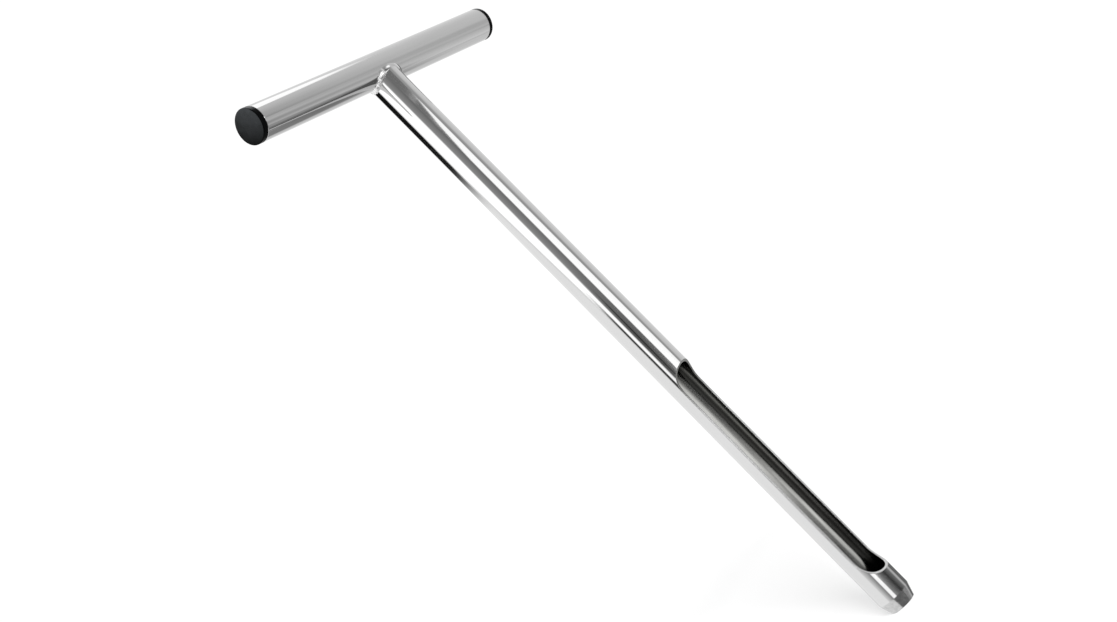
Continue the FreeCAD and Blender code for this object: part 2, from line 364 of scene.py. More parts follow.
def wall_side(shell, rim, foot, slot, sign):
    """One side of the tube wall, from foot up to the handle, around the window.

    sign is 1 for the outside and -1 for the bore."""
    angles = ring_angles(rim)
    outward = radial(angles)
    base = rim.radius * outward
    low = np.full(len(angles), rim.low_centre)
    high = np.full(len(angles), rim.high_centre)
    low[: len(rim.angles)] = rim.end(False)[:, 2]
    high[: len(rim.angles)] = rim.end(True)[:, 2]
    crest = crest_height(angles)

    def grid(picked, start, end, steps):
        rows = []
        for share in between(0, 1, steps):
            row = base[picked].copy()
            row[:, 2] = (start + (end - start) * share)[picked]
            rows.append(row)
        return np.array(rows), np.tile(sign * outward[picked], (steps + 1, 1, 1))

    everything = np.arange(len(angles))
    behind = np.concatenate([np.arange(len(rim.angles) - 1, len(angles)), [0]])
    bottom = np.full(len(angles), foot)
    shell.add(*grid(everything, bottom, low, FOOT_STEPS), slot, turn=True)
    shell.add(*grid(behind, low, high, FLANK_STEPS), slot)
    shell.add(*grid(everything, high, crest, SHAFT_STEPS), slot, turn=True)
    return angles, crest


def broken_edge(radius, way, degrees):
    """Outlines and normals of the round between the cut face and a wall that faces out or in.

    way is 1 for the outside of the tube and -1 for its bore."""
    rows = []
    for turned in np.radians(degrees):
        rim = WindowRim(
            radius - way * EDGE_BREAK * (1 - math.cos(turned)),
            EDGE_BREAK * (1 - math.sin(turned)),
        )
        points, cut = rim.loop(FLANK_STEPS)
        out = way * points * [1, 1, 0] / rim.radius
        rows.append((points, math.cos(turned) * out + math.sin(turned) * cut))
    return rows


def cut_face(shell, slot):
    """The milled face of the window, with both of its edges broken."""
    rows = broken_edge(TUBE_RADIUS, 1, between(0, 90, FILLET_STEPS))
    for share in between(0, 1, WALL_STEPS)[1:-1]:
        depth = EDGE_BREAK + (TUBE_WALL - 2 * EDGE_BREAK) * share
        rows.append(WindowRim(TUBE_RADIUS - depth).loop(FLANK_STEPS))
    rows.extend(broken_edge(BORE_RADIUS, -1, between(90, 0, FILLET_STEPS)))
    shell.add([row[0] for row in rows], [row[1] for row in rows], slot, turn=True)


def mouth(shell, outer_angles, inner_angles, cone_slot, bore_slot):
    """The ground cone, the cutting edge, the land inside it and the drawn-in cone behind that."""

    def ring(profile, slot):
        """A profile of (radius, z, normal out, normal z, share of the way to the inner angles)."""
        points = []
        normals = []
        for radius, z, out, lift, share in profile:
            outward = radial(outer_angles + (inner_angles - outer_angles) * share)
            points.append(radius * outward + [0, 0, z])
            normals.append(out * outward + [0, 0, lift])
        shell.add(points, normals, slot, turn=True)

    lip = MOUTH_BREAK
    taper = TUBE_RADIUS - TIP_EDGE_RADIUS
    lean = math.atan2(taper, TIP_LENGTH)
    cone = [
        (TIP_EDGE_RADIUS + taper * z / TIP_LENGTH, z, math.cos(lean), -math.sin(lean), 0)
        for z in between(TIP_LENGTH, lip, CONE_STEPS)
    ]
    ring(cone, cone_slot)

    middle = (cone[-1][0] + MOUTH_RADIUS) / 2
    half = (cone[-1][0] - MOUTH_RADIUS) / 2
    edge = []
    for share in between(0, 1, LIP_STEPS):
        over, down = math.cos(share * math.pi), math.sin(share * math.pi)
        edge.append((middle + half * over, lip - lip * down, over, -down - 0.2, share))
    ring(edge, cone_slot)

    land = [(MOUTH_RADIUS, z, -1, 0, 1) for z in between(lip, MOUTH_LENGTH, LAND_STEPS)]
    ring(land, bore_slot)

    widening = BORE_RADIUS - MOUTH_RADIUS
    rise = SWAGE_LENGTH - MOUTH_LENGTH
    lean = math.atan2(widening, rise)
    swage = [
        (MOUTH_RADIUS + widening * share, MOUTH_LENGTH + rise * share,
         -math.cos(lean), math.sin(lean), 1)
        for share in between(0, 1, SWAGE_STEPS)
    ]
    ring(swage, bore_slot)


def probe_tube(materials):
    """The tube wall with its window, the drawn-in mouth and the ground cutting edge."""
    outer_slot, cone_slot, bore_slot, cut_slot = range(4)
    shell = Shell()
    outer = WindowRim(TUBE_RADIUS, EDGE_BREAK)
    inner = WindowRim(BORE_RADIUS, EDGE_BREAK)
    outer_angles, outer_crest = wall_side(shell, outer, TIP_LENGTH, outer_slot, 1)
    inner_angles, inner_crest = wall_side(shell, inner, SWAGE_LENGTH, bore_slot, -1)
    cut_face(shell, cut_slot)

    # The end of the wall inside the weld metal.
    top_outer = TUBE_RADIUS * radial(outer_angles)
    top_outer[:, 2] = outer_crest
    top_inner = BORE_RADIUS * radial(inner_angles)
    top_inner[:, 2] = inner_crest
    up = np.tile([0.0, 0.0, 1.0], (len(outer_angles), 1))
    shell.add([top_outer, top_inner], [up, up], bore_slot, turn=True)

    mouth(shell, outer_angles, inner_angles, cone_slot, bore_slot)
    return shell.build("probe_tube_skin", materials)


# ---------------------------------------------------------------- handle and plugs


def handle_tube(materials):
    """The handle tube with its ends chamfered and its bore open behind the plugs."""
    satin_slot, bore_slot = range(2)
    shell = Shell()
    end = HANDLE_HALF
    inset = end - HANDLE_CHAMFER
    lip = TUBE_RADIUS - HANDLE_CHAMFER
    outside = [
        straight((-end, lip), (-inset, TUBE_RADIUS)),
        straight((-inset, TUBE_RADIUS), (inset, TUBE_RADIUS), HANDLE_STEPS),
        straight((inset, TUBE_RADIUS), (end, lip)),
    ]
    inside = [
        straight((end, lip), (end, BORE_RADIUS)),
        straight((end, BORE_RADIUS), (-end, BORE_RADIUS), HANDLE_BORE_STEPS),
        straight((-end, BORE_RADIUS), (-end, lip)),
    ]
    centre = np.array([0, 0, HANDLE_HEIGHT])
    lathe(shell, outside, satin_slot, centre)
    lathe(shell, inside, bore_slot, centre)
    return shell.build("handle_tube_skin", materials)


def end_plug(name, side, materials):
    """A moulded plug: a slightly domed face, a matt rim, and a hollow ribbed spigot in the bore."""
    face_slot, rim_slot = range(2)
    seat = HANDLE_HALF
    shoulder = PLUG_FACE - PLUG_DOME
    inner = TUBE_RADIUS - PLUG_EDGE
    dome_radius = (inner**2 + PLUG_DOME**2) / (2 * PLUG_DOME)
    dome_angle = math.degrees(math.asin(inner / dome_radius))
    dome = rounded((PLUG_FACE - dome_radius, 0), dome_radius, 0, dome_angle, DOME_STEPS)
    rim = [
        rounded((shoulder - PLUG_EDGE, inner), PLUG_EDGE, dome_angle, 90),
        straight((shoulder - PLUG_EDGE, TUBE_RADIUS), (seat, TUBE_RADIUS), 2),
        straight((seat, TUBE_RADIUS), (seat, SPIGOT_RADIUS)),
    ]
    # The arc of the rim starts a hair inside the dome's edge, so the two are joined there.
    rim[0][0] = (dome[-1][0], dome[-1][1], rim[0][0][2], rim[0][0][3])
    here = seat
    for number in range(RIB_COUNT):
        middle = seat - FIRST_RIB - RIB_PITCH * number
        root = middle + RIB_WIDTH / 2
        crest = middle - RIB_CREST
        end = middle - RIB_WIDTH / 2
        rim.append(straight((here, SPIGOT_RADIUS), (root, SPIGOT_RADIUS)))
        rim.append(straight((root, SPIGOT_RADIUS), (crest, RIB_RADIUS)))
        rim.append(straight((crest, RIB_RADIUS), (end, SPIGOT_RADIUS)))
        here = end
    hollow = SPIGOT_RADIUS - SPIGOT_WALL
    tip = seat - SPIGOT_LENGTH
    rim.append(straight((here, SPIGOT_RADIUS), (tip, SPIGOT_RADIUS)))
    rim.append(straight((tip, SPIGOT_RADIUS), (tip, hollow)))
    rim.append(straight((tip, hollow), (seat, hollow)))
    rim.append(straight((seat, hollow), (seat, 0.0)))

    def placed(run, turned):
        """A run on its own side of the handle; a straight run's normal is turned outwards."""
        return [(side * x, r, turned * side * nx, turned * nr) for x, r, nx, nr in run]

    centre = np.array([0, 0, HANDLE_HEIGHT])
    shell = Shell()
    lathe(shell, [placed(dome, 1)], face_slot, centre)
    lathe(shell, [placed(rim[0], 1)] + [placed(run, -1) for run in rim[1:]], rim_slot, centre)
    return shell.build(name, materials)


# ---------------------------------------------------------------- weld bead


def stretch(angles, start, end, soft):
    """1 between two angles in degrees and 0 outside, with soft ends; 0 faces -Y, 90 faces -X."""
    middle = (start + end) / 2
    away = np.abs((np.degrees(angles) - middle + 180) % 360 - 180)
    share = np.clip(((end - start) / 2 - away) / soft + 0.5, 0, 1)
    return share * share * (3 - 2 * share)


def blend(dressed, laid_value, laid):
    return dressed + (laid_value - dressed) * laid


def slope(values):
    """Change per radian of values that are given all round the bead."""
    return (np.roll(values, -1) - np.roll(values, 1)) * len(values) / (4 * math.pi)


def grid_normals(points):
    """Normals of a grid of points whose rows run on round the joint."""
    along = np.roll(points, -1, 0) - np.roll(points, 1, 0)
    across = np.gradient(points, axis=1)
    return unit(np.cross(along, across))


def down_from_handle(turn):
    """Unit vectors square to the handle's axis; turn 0 points down and pi / 2 to -Y."""
    return np.stack([0 * turn, -np.sin(turn), -np.cos(turn)], -1)


def bead_widths(angles, laid, blob, rng):
    """How far the bead reaches from the seam along the probe tube and round the handle tube."""
    wander = np.zeros(len(angles))
    for number in range(WANDER_WAVES):
        wander += np.sin((5 + 4 * number) * angles + rng.uniform(0, 6.28)) / (number + 3)
    uneven = laid * (1 - BLOB_WANDER_LOST * blob)
    on_probe = blend(DRESSED_ON_PROBE, LAID_ON_PROBE, laid)
    on_handle = blend(DRESSED_ON_HANDLE, LAID_ON_HANDLE, laid) + FIRST_BLOB * blob
    on_probe = on_probe * (1 + WANDER_ON_PROBE * uneven * wander)
    on_handle = on_handle * (1 - WANDER_ON_HANDLE * uneven * np.roll(wander, WANDER_SHIFT))
    return on_probe, on_handle


def edge_on_handle(angles, turn, reach):
    """The bead's edge on the handle tube, worked out with the seam unrolled, and its normals."""
    seam_x = -TUBE_RADIUS * np.sin(angles)
    seam_s = TUBE_RADIUS * turn
    ahead = unit(np.stack([slope(seam_x), slope(seam_s)], -1))
    normal = down_from_handle((seam_s - reach * ahead[:, 0]) / TUBE_RADIUS)
    edge = np.array([0, 0, HANDLE_HEIGHT]) + TUBE_RADIUS * normal
    edge[:, 0] = seam_x + reach * ahead[:, 1]
    return edge, normal


def edge_on_probe(angles, reach):
    """The bead's edge on the probe tube, and its normals."""
    rise = slope(seam_height(angles))
    steep = np.hypot(TUBE_RADIUS, rise)
    normal = radial(angles + reach * rise / steep / TUBE_RADIUS)
    edge = TUBE_RADIUS * normal
    edge[:, 2] = seam_height(angles) - reach * TUBE_RADIUS / steep
    return edge, normal


def along_wall(edge, normal, seam):
    """Unit vectors from an edge of the bead to the seam, kept in the tube's surface."""
    way = seam - edge
    return unit(way - (way * normal).sum(1, keepdims=True) * normal)


def bead_ripples(seam, laid, blob, share, rng):
    """How far ripples and lumps raise the bead's skin.

    A ripple is a crescent that trails at the edges of the bead, as the torch leaves it."""
    step = np.linalg.norm(np.roll(seam, -1, 0) - seam, axis=1)
    length = np.concatenate([[0], np.cumsum(step)[:-1]])[:, None]
    total = step.sum()
    across = 2 * share - 1
    height = np.zeros((len(seam), across.size))
    count = round(total / RIPPLE_PITCH)
    for number in range(count):
        middle = total * (number + rng.uniform(-0.3, 0.3)) / count
        lag = RIPPLE_PITCH * rng.uniform(0.3, 0.9) * (across - rng.uniform(-0.3, 0.3)) ** 2
        away = (length - middle - lag + total / 2) % total - total / 2
        height += rng.uniform(0.4, 1.5) * np.exp(-((away / RIPPLE_WIDTH) ** 2))
    for _ in range(LUMP_COUNT):
        middle, side = rng.uniform(0, total), rng.uniform(-0.7, 0.8)
        wide = rng.uniform(*LUMP_WIDTH)
        away = (length - middle + total / 2) % total - total / 2
        near = (away / wide) ** 2 + ((across - side) * LAID_ON_PROBE / wide) ** 2
        height += rng.uniform(-0.7, 1.3) * np.exp(-near)
    fade = np.clip(np.sin(math.pi * share), 0, None) ** 0.7
    strength = RIPPLE_HEIGHT * laid * (1 - BLOB_RIPPLE_LOST * blob)
    return strength[:, None] * fade * (height - MEAN_RIPPLE)


def weld_bead(materials):
    """A bead laid round the saddle: blobs and ripples in the crevices, dressed smooth elsewhere."""
    laid_slot, dressed_slot = range(2)
    rng = np.random.default_rng(SEED)
    angles = np.linspace(0, 2 * math.pi, BEAD_STEPS_ALONG, endpoint=False)
    turn = seam_turn(angles)
    laid = np.maximum(stretch(angles, *LAID_LEFT), stretch(angles, *LAID_RIGHT))
    blob = stretch(angles, *BLOB_STRETCH)

    on_probe, on_handle = bead_widths(angles, laid, blob, rng)
    handle_edge, handle_normal = edge_on_handle(angles, turn, on_handle)
    probe_edge, probe_normal = edge_on_probe(angles, on_probe)
    seam = TUBE_RADIUS * radial(angles)
    seam[:, 2] = seam_height(angles)

    # Across the bead a Bezier curve swells out from one tube and comes back on to the other.
    chord = handle_edge - probe_edge
    pull = BEAD_FULLNESS * np.linalg.norm(chord, axis=1, keepdims=True)
    up_probe = along_wall(probe_edge, probe_normal, seam)
    down_handle = along_wall(handle_edge, handle_normal, seam)
    corner = np.arccos(np.clip((unit(chord) * up_probe).sum(1), -1, 1))
    lift = corner * blend(DRESSED_CORNER, LAID_CORNER, laid)
    lift += np.radians(blend(DRESSED_LIFT, LAID_LIFT, laid))
    lift = np.minimum(lift, math.radians(MOST_LIFT))[:, None]
    probe_pull = probe_edge + pull * (np.cos(lift) * up_probe + np.sin(lift) * probe_normal)
    handle_pull = handle_edge + pull * (np.cos(lift) * down_handle + np.sin(lift) * handle_normal)
    share = between(0, 1, BEAD_STEPS_ACROSS)[None, :, None]
    points = (
        (1 - share) ** 3 * probe_edge[:, None]
        + 3 * share * (1 - share) ** 2 * probe_pull[:, None]
        + 3 * share**2 * (1 - share) * handle_pull[:, None]
        + share**3 * handle_edge[:, None]
    )
    out = unit(unit(probe_normal + handle_normal))[:, None]
    points += bead_ripples(seam, laid, blob, share[..., 0], rng)[..., None] * out

    # The bead's root is buried in both tubes, as the metal is fused into them.
    root = np.stack(
        [
            points[:, -1],
            handle_edge - BEAD_BURIED * handle_normal,
            seam - BEAD_BURIED * (radial(angles) + down_from_handle(turn)),
            probe_edge - BEAD_BURIED * probe_normal,
            points[:, 0],
        ],
        1,
    )
    normals = grid_normals(points)
    if ((points - seam[:, None]) * normals).sum() < 0:
        normals = -normals
    root_normals = -grid_normals(root)
    if ((root - root.mean(1, keepdims=True)) * root_normals).sum() < 0:
        root_normals = -root_normals

    shell = Shell()
    marks = np.flatnonzero(np.diff(np.concatenate([laid, laid[:1]]) > 0.5))
    bounds = [0, *[int(mark) + 1 for mark in marks], BEAD_STEPS_ALONG]
    rows = np.arange(BEAD_STEPS_ALONG + 1) % BEAD_STEPS_ALONG
    for first, last in zip(bounds, bounds[1:]):
        picked = rows[first : last + 1]
        if len(picked) < 2:
            continue
        slot = laid_slot if laid[picked[len(picked) // 2]] > 0.5 else dressed_slot
        shell.add(points[picked], normals[picked], slot)
        shell.add(root[picked], root_normals[picked], slot)
    return shell.build("weld_bead_skin", materials)


# ---------------------------------------------------------------- materials


def node(tree, kind, inputs=None, **settings):
    """Adds a node. An input is a constant, or an output of another node to link."""
    made = tree.nodes.new(kind)
    for key, value in settings.items():
        setattr(made, key, value)
    for key, value in (inputs or {}).items():
        if isinstance(value, bpy.types.NodeSocket):
            tree.links.new(value, made.inputs[key])
        else:
            made.inputs[key].default_value = value
    return made


def grey(value, warmth=0.0):
    """A grey; warmth raises its red and lowers its blue by that share."""
    return (value * (1 + warmth), value, value * (1 - warmth), 1.0)


def stretched_noise(tree, scale, detail=4.0, roughness=0.55, distortion=0.0):
    """Noise over the piece's own place in metres; scale is how often it changes per metre."""
    place = node(tree, "ShaderNodeTexCoord")
    sized = node(
        tree, "ShaderNodeVectorMath",
        {0: place.outputs["Object"], 1: scale}, operation="MULTIPLY",
    )
    return node(
        tree, "ShaderNodeTexNoise",
        {"Vector": sized.outputs[0], "Scale": 1.0, "Detail": detail, "Roughness": roughness,
         "Distortion": distortion},
    ).outputs[0]


def to_range(tree, value, low, high, new_low, new_high):
    """value taken from one range into another, and held at both ends."""
    return node(
        tree, "ShaderNodeMapRange",
        {"Value": value, "From Min": low, "From Max": high, "To Min": new_low, "To Max": new_high},
    ).outputs[0]


def blend_colour(tree, factor, dark, light):
    ramp = node(tree, "ShaderNodeValToRGB", {"Fac": factor})
    ramp.color_ramp.elements[0].color = dark
    ramp.color_ramp.elements[1].color = light
    return ramp.outputs[0]


def maths(tree, operation, *values):
    inputs = dict(enumerate(values))
    return node(tree, "ShaderNodeMath", inputs, operation=operation).outputs[0]


def new_material(name):
    material = bpy.data.materials.new(name)
    material.use_nodes = True
    material.node_tree.nodes.clear()
    return material, material.node_tree


def finish_material(tree, **inputs):
    """Ends the tree in a Principled shader; an underscore stands for a space in an input's name."""
    named = {key.replace("_", " "): value for key, value in inputs.items()}
    shader = node(tree, "ShaderNodeBsdfPrincipled", named)
    out = node(tree, "ShaderNodeOutputMaterial")
    tree.links.new(shader.outputs[0], out.inputs[0])


def bumps(tree, layers):
    """Stacks bump maps; each layer is (height, distance in metres, strength)."""
    normal = None
    for height, distance, strength in layers:
        inputs = {"Height": height, "Distance": distance, "Strength": strength}
        if normal is not None:
            inputs["Normal"] = normal
        normal = node(tree, "ShaderNodeBump", inputs).outputs[0]
    return normal


def mirror_steel():
    """The polished probe tube: near-mirror, with fine lengthwise polishing lines."""
    material, tree = new_material("mirror_steel")
    lines = stretched_noise(tree, (5200, 5200, 90), 3)
    haze = stretched_noise(tree, (110, 110, 26), 3)
    waves = stretched_noise(tree, (70, 70, 9), 1)
    roughness = maths(
        tree, "ADD",
        to_range(tree, lines, 0.3, 0.75, 0.02, 0.06), to_range(tree, haze, 0.35, 0.75, 0.01, 0.05),
    )
    finish_material(
        tree,
        Base_Color=blend_colour(tree, haze, grey(0.71), grey(0.75)),
        Metallic=1.0,
        Roughness=roughness,
        Normal=bumps(tree, [(waves, 0.06 * MM, 1.0), (lines, 0.0012 * MM, 0.6)]),
    )
    return material


def satin_steel():
    """The handle: soft-polished, with drawn lines along X and faint smears."""
    material, tree = new_material("satin_steel")
    lines = stretched_noise(tree, (80, 4200, 4200), 4)
    smears = stretched_noise(tree, (30, 160, 160), 3)
    roughness = maths(
        tree, "ADD",
        to_range(tree, lines, 0.3, 0.75, 0.04, 0.08), to_range(tree, smears, 0.35, 0.75, 0.0, 0.04),
    )
    finish_material(
        tree,
        Base_Color=blend_colour(tree, smears, grey(0.64), grey(0.7)),
        Metallic=1.0,
        Roughness=roughness,
        Normal=bumps(tree, [(lines, 0.003 * MM, 0.6)]),
    )
    return material


def ground_steel():
    """The cutting cone: ground on a wheel, blotchy, with fine marks round it."""
    material, tree = new_material("ground_steel")
    blotches = stretched_noise(tree, (420, 420, 420), 3, 0.6, 0.4)
    marks = stretched_noise(tree, (700, 700, 9000), 3)
    finish_material(
        tree,
        Base_Color=blend_colour(tree, blotches, grey(0.5), grey(0.86)),
        Metallic=1.0,
        Roughness=to_range(tree, blotches, 0.3, 0.7, 0.1, 0.2),
        Normal=bumps(tree, [(blotches, 0.05 * MM, 0.5), (marks, 0.003 * MM, 0.5)]),
    )
    return material


def bore_steel_painted_shade():
    """The bore: drawn and unpolished, with a soft lengthwise grain; its colour is painted shade, far
    darker than steel and than outside.
    """
    material, tree = new_material("bore_steel_painted_shade")
    grain = stretched_noise(tree, (1300, 1300, 45), 2)
    stains = stretched_noise(tree, (90, 90, 30), 3)
    # Painted shade: the base colour is far darker than steel's, standing in for the shade inside the
    # tubes.
    finish_material(
        tree,
        Base_Color=blend_colour(tree, stains, (0.17, 0.17, 0.163, 1.0), (0.24, 0.24, 0.232, 1.0)),
        Metallic=1.0,
        Roughness=to_range(tree, grain, 0.3, 0.7, 0.11, 0.18),
        Normal=bumps(tree, [(grain, 0.001 * MM, 0.5)]),
    )
    return material


def cut_steel():
    """The milled faces of the window, dulled, and painted darker round its upper end as shade."""
    material, tree = new_material("cut_steel")
    marks = stretched_noise(tree, (60, 5200, 5200), 3)
    place = node(tree, "ShaderNodeTexCoord")
    height = node(tree, "ShaderNodeSeparateXYZ", {0: place.outputs["Object"]}).outputs[2]
    # Painted shade: the faces darken towards the window's upper end, where shade falls inside the
    # tube.
    painted_shade_share = to_range(tree, height, WINDOW_TOP - 40 * MM, WINDOW_TOP - 14 * MM, 0.0, 0.75)
    unshaded_colour = blend_colour(tree, marks, grey(0.62), grey(0.74))
    base = node(
        tree, "ShaderNodeMix", {0: painted_shade_share, 6: unshaded_colour, 7: (0.13, 0.13, 0.12, 1.0)}, data_type="RGBA"
    ).outputs[2]
    finish_material(
        tree,
        Base_Color=base,
        Metallic=1.0,
        Roughness=to_range(tree, marks, 0.3, 0.7, 0.12, 0.24),
        Normal=bumps(tree, [(marks, 0.004 * MM, 0.6)]),
    )
    return material


def weld_steel():
    """Bright weld metal with a few dark specks of scale."""
    material, tree = new_material("weld_steel")
    lumps = stretched_noise(tree, (700, 700, 700), 3)
    specks = stretched_noise(tree, (1300, 1300, 1300), 2)
    speck_share = to_range(tree, specks, 0.2, 0.28, 0.0, 1.0)
    finish_material(
        tree,
        Base_Color=blend_colour(tree, speck_share, grey(0.3, 0.02), grey(0.96)),
        Metallic=1.0,
        Roughness=to_range(tree, lumps, 0.3, 0.7, 0.26, 0.42),
        Normal=bumps(tree, [(lumps, 0.04 * MM, 0.6)]),
    )
    return material


def black_plastic(name, dark, rubbed, shine, roughness, way, reach):
    """Black moulded plastic with a fine grain and rubbed patches; its gloss rises to one side as a
    painted highlight.

    dark and rubbed are its greys. shine is its least and its most gloss, which it has at the two
    ends of reach, in tube radii from the handle's axis along way."""
    material, tree = new_material(name)
    grain = stretched_noise(tree, (3600, 3600, 3600), 2)
    rub = stretched_noise(tree, (260, 260, 260), 4, 0.6)
    place = node(tree, "ShaderNodeTexCoord")
    upward = node(
        tree, "ShaderNodeVectorMath", {0: place.outputs["Object"], 1: way},
        operation="DOT_PRODUCT",
    ).outputs["Value"]
    # Painted highlight: the gloss grows along way, so the side of the plug towards the light shows a
    # sheen.
    low, high = (way[2] * HANDLE_HEIGHT + share * TUBE_RADIUS for share in reach)
    painted_sheen_share = to_range(tree, upward, low, high, *shine)
    patchy = to_range(tree, rub, 0.3, 0.7, 0.75, 1.2)
    finish_material(
        tree,
        Base_Color=blend_colour(tree, rub, grey(dark, -0.06), grey(rubbed, -0.04)),
        Roughness=to_range(tree, rub, 0.3, 0.7, roughness, roughness + 0.1),
        Specular_IOR_Level=maths(tree, "MULTIPLY", painted_sheen_share, patchy),
        Specular_Tint=(0.84, 0.93, 1.0, 1.0),
        Normal=bumps(tree, [(grain, 0.012 * MM, 0.4)]),
    )
    return material


# ---------------------------------------------------------------- studio


class Card:
    """A card or lamp that steel and plastic see round them, between two elevations, in degrees.

    start and end are the azimuths of its two upright edges, each given at the low and at the high
    elevation. light holds its brightness at the start and at the end; soft is how wide each of its
    edges fades: start, end, low and high."""

    def __init__(self, elevation, start, end, light, soft=(4, 4, 4, 4)):
        self.elevation = elevation
        self.start = start
        self.end = end
        self.light = light
        self.soft = soft


# Placed and lit so that the steel shows the photo's bands from the photo's side, which is the only
# side they are fitted to. Azimuth 0 is +Y and 90 is +X, and later cards stand in front of earlier
# ones. Light is measured against plain white, 1. Some are brighter than a real studio's, for the
# dark bore.
CARDS = (
    # the table, and how it darkens to the right, in front and on the left
    Card((-90, -26), (-1, -1), (361, 361), (0.52, 0.52), (1, 1, 1, 14)),
    Card((-70, -24), (148, 148), (266, 266), (0.16, 0.15), (10, 8, 6, 8)),
    Card((-70, -24), (258, 258), (361, 361), (0.8, 0.9), (10, 12, 6, 8)),
    # the right-hand wall, brighter far round, with a dim corner and dim bands near the table
    Card((-34, 45.5), (10, 10), (158, 158), (1.0, 0.62), (20, 6, 14, 2)),
    Card((-70, -26), (82, 82), (158, 158), (0.84, 0.3), (10, 6, 6, 10)),
    Card((2, 34), (132, 132), (158, 158), (0.6, 0.56), (12, 6, 16, 8)),
    Card((-60, -6), (20, 20), (78, 78), (0.7, 0.76), (10, 8, 6, 14)),
    Card((-24, -4), (100, 100), (160, 160), (0.56, 0.56), (40, 6, 12, 12)),
    Card((-70, -31), (122, 122), (152, 152), (0.36, 0.24), (16, 6, 6, 9)),
    Card((-70, -41.5), (84, 84), (120, 120), (0.34, 0.38), (8, 6, 6, 3)),
    Card((-70, -43.5), (76, 76), (101, 101), (0.24, 0.2), (8, 6, 6, 4)),
    Card((-46, -22), (32, 32), (86, 42), (0.5, 0.18), (10, 14, 4, 6)),
    Card((-13, 40), (135, 144), (160, 160), (0.38, 0.38), (15, 6, 6, 6)),
    Card((-13.5, -9.6), (62, 62), (120, 120), (0.15, 0.15), (10, 14, 2, 1)),
    # a lamp high over the right-hand end
    Card((39.5, 46), (119, 80), (135, 135), (1.45, 1.45), (12, 8, 1.5, 0.5)),
    Card((46, 75), (78, 78), (135, 135), (1.45, 1.45), (10, 8, 0.5, 4)),
    # the dark room in front, where the camera stands
    Card((-9, 75), (202, 202), (249, 249), (0.18, 0.34), (6, 13, 6, 4)),
    Card((-9, 5), (202, 202), (254, 250), (0.18, 0.07), (6, 9, 6, 6)),
    # the softbox in front, its upper end cut by the curving edge of the dark room
    Card((-6, 17), (150, 163), (199.5, 199.5), (1.3, 1.36), (6, 5, 7, 1)),
    Card((12.8, 14.8), (203, 186), (212, 212), (0.19, 0.19), (5, 4, 1, 0.5)),
    Card((14.8, 16.2), (186, 160), (212, 212), (0.19, 0.19), (5, 4, 0.5, 0.5)),
    Card((16.2, 75), (158, 158), (212, 212), (0.19, 0.19), (5, 4, 0.5, 4)),
    # the softbox on the left, which widens upwards, and the lines along its edge
    Card((0, 3.5), (259, 254), (265, 277), (1.4, 1.4), (9, 7, 3, 0.5)),
    Card((3.5, 12), (254, 250), (277, 315), (1.5, 1.5), (9, 5, 0.5, 0.5)),
    Card((12, 75), (250, 250), (316, 318), (1.5, 1.5), (12, 5, 0.5, 4)),
    Card((11.9, 75), (325, 314), (383, 383), (0.008, 0.008), (5, 8, 2.4, 4)),
    Card((3.5, 12.5), (279, 323), (286, 330), (0.85, 0.85), (6, 6, 1.5, 1.5)),
    Card((-9.3, 4.9), (267, 270), (286, 283), (0.03, 0.03), (8, 9, 1, 1.8)),
    Card((-9.3, 5), (231, 229), (239, 236), (0.02, 0.02), (7, 8, 3, 1.6)),
    # low down, where from the photo's side only the foot of the probe and its bore look
    Card((-14, -8.8), (139, 139), (178, 178), (0.22, 0.03), (14, 4, 2, 2)),
    Card((-14, -8.8), (176, 176), (227, 227), (0.03, 0.3), (4, 8, 2, 2)),
    Card((-14, -9.6), (226, 226), (248, 248), (1.25, 1.25), (10, 6, 2, 1)),
    Card((-14, -9.5), (248, 248), (285, 285), (0.22, 0.85), (6, 6, 2, 1)),
    Card((-30, -9.6), (72, 72), (114, 114), (0.17, 0.15), (10, 5, 4, 1)),
    Card((-9.6, 0.2), (90, 90), (124, 124), (1.2, 1.0), (8, 6, 1, 0.6)),
    # a low white card for the first blob of the weld
    Card((-33, -14.5), (150, 150), (204, 204), (1.7, 1.7), (8, 12, 6, 2)),
    # level with the window, for its bore alone: the dark room, and the softbox over a lamp
    Card((-9.6, 0.2), (150, 150), (252, 252), (0.7, 0.3), (5, 8, 1, 0.6)),
    Card((-9.6, -5), (150, 150), (208, 208), (0.0, 0.2), (5, 12, 1, 3)),
    Card((-5.6, 0.2), (174, 174), (212, 212), (3.7, 3.3), (14, 30, 3, 0.6)),
    Card((-9.6, -5), (217, 217), (241, 241), (3.2, 3.0), (16, 12, 1, 3)),
)


def fade(tree, value, middle, soft):
    """Rises from 0 to 1 about middle, over the width soft; a negative soft makes it fall."""
    return node(
        tree, "ShaderNodeMapRange",
        {"Value": value, "From Min": middle - soft / 2, "From Max": middle + soft / 2},
        interpolation_type="SMOOTHSTEP",
    ).outputs[0]


def upright_edge(tree, elevation, card, ends, middle):
    """The azimuth of a card's edge from its middle, which changes with elevation if it slants."""
    low_end, high_end = ends[0] - middle, ends[1] - middle
    if low_end == high_end:
        return low_end
    return to_range(tree, elevation, *card.elevation, low_end, high_end)


def mixed(tree, share, first, second):
    inputs = {0: share, 2: first, 3: second}
    return node(tree, "ShaderNodeMix", inputs, data_type="FLOAT").outputs[0]


